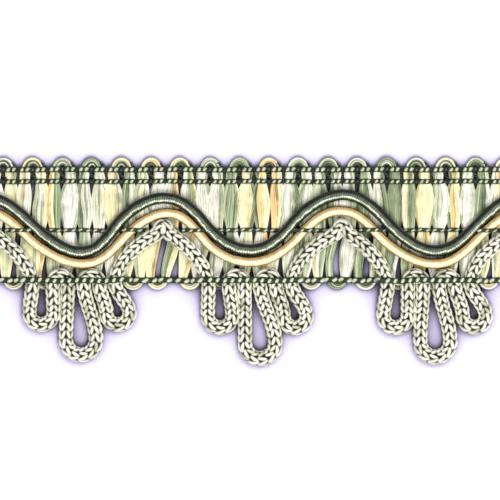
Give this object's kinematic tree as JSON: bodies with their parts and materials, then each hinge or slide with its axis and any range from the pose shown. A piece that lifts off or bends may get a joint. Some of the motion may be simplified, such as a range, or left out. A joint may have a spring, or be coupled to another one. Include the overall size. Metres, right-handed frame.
{
  "type": "gimp braid trim",
  "caption": "Cut length of gimp braid: a serpentine floss band with twined warp rows, two waving gimp cords and a knitted cord looped in clusters along one edge.",
  "frame": {"origin": "middle of the trim's length and depth, on the surface that its back lies on", "axes": "+X along the trim, +Y towards the small top loops, +Z out of its face"},
  "size_m": [0.102, 0.0395, 0.0046],
  "materials": {
    "floss": "silky untwisted floss in ivory, pale yellow, gold and sage lengths",
    "sage_yarn": "two-ply twisted sage yarn",
    "green_gimp": "dark sage thread wrapped round a core, with a silky line of light",
    "gold_gimp": "gold thread wrapped round a core, with a silky line of light",
    "knit": "fine knitted cord, pale green-cream stitches with olive between them"
  },
  "bodies": {
    "root": {"weft": "floss", "warp_1_back": "sage_yarn", "warp_1_face": "sage_yarn", "warp_2_back": "sage_yarn", "warp_2_face": "sage_yarn", "warp_3_back": "sage_yarn", "warp_3_face": "sage_yarn", "warp_4_back": "sage_yarn", "warp_4_face": "sage_yarn", "green_gimp_cord": "green_gimp", "gold_gimp_cord": "gold_gimp", "knitted_cord": "knit"}
  },
  "joints": []
}
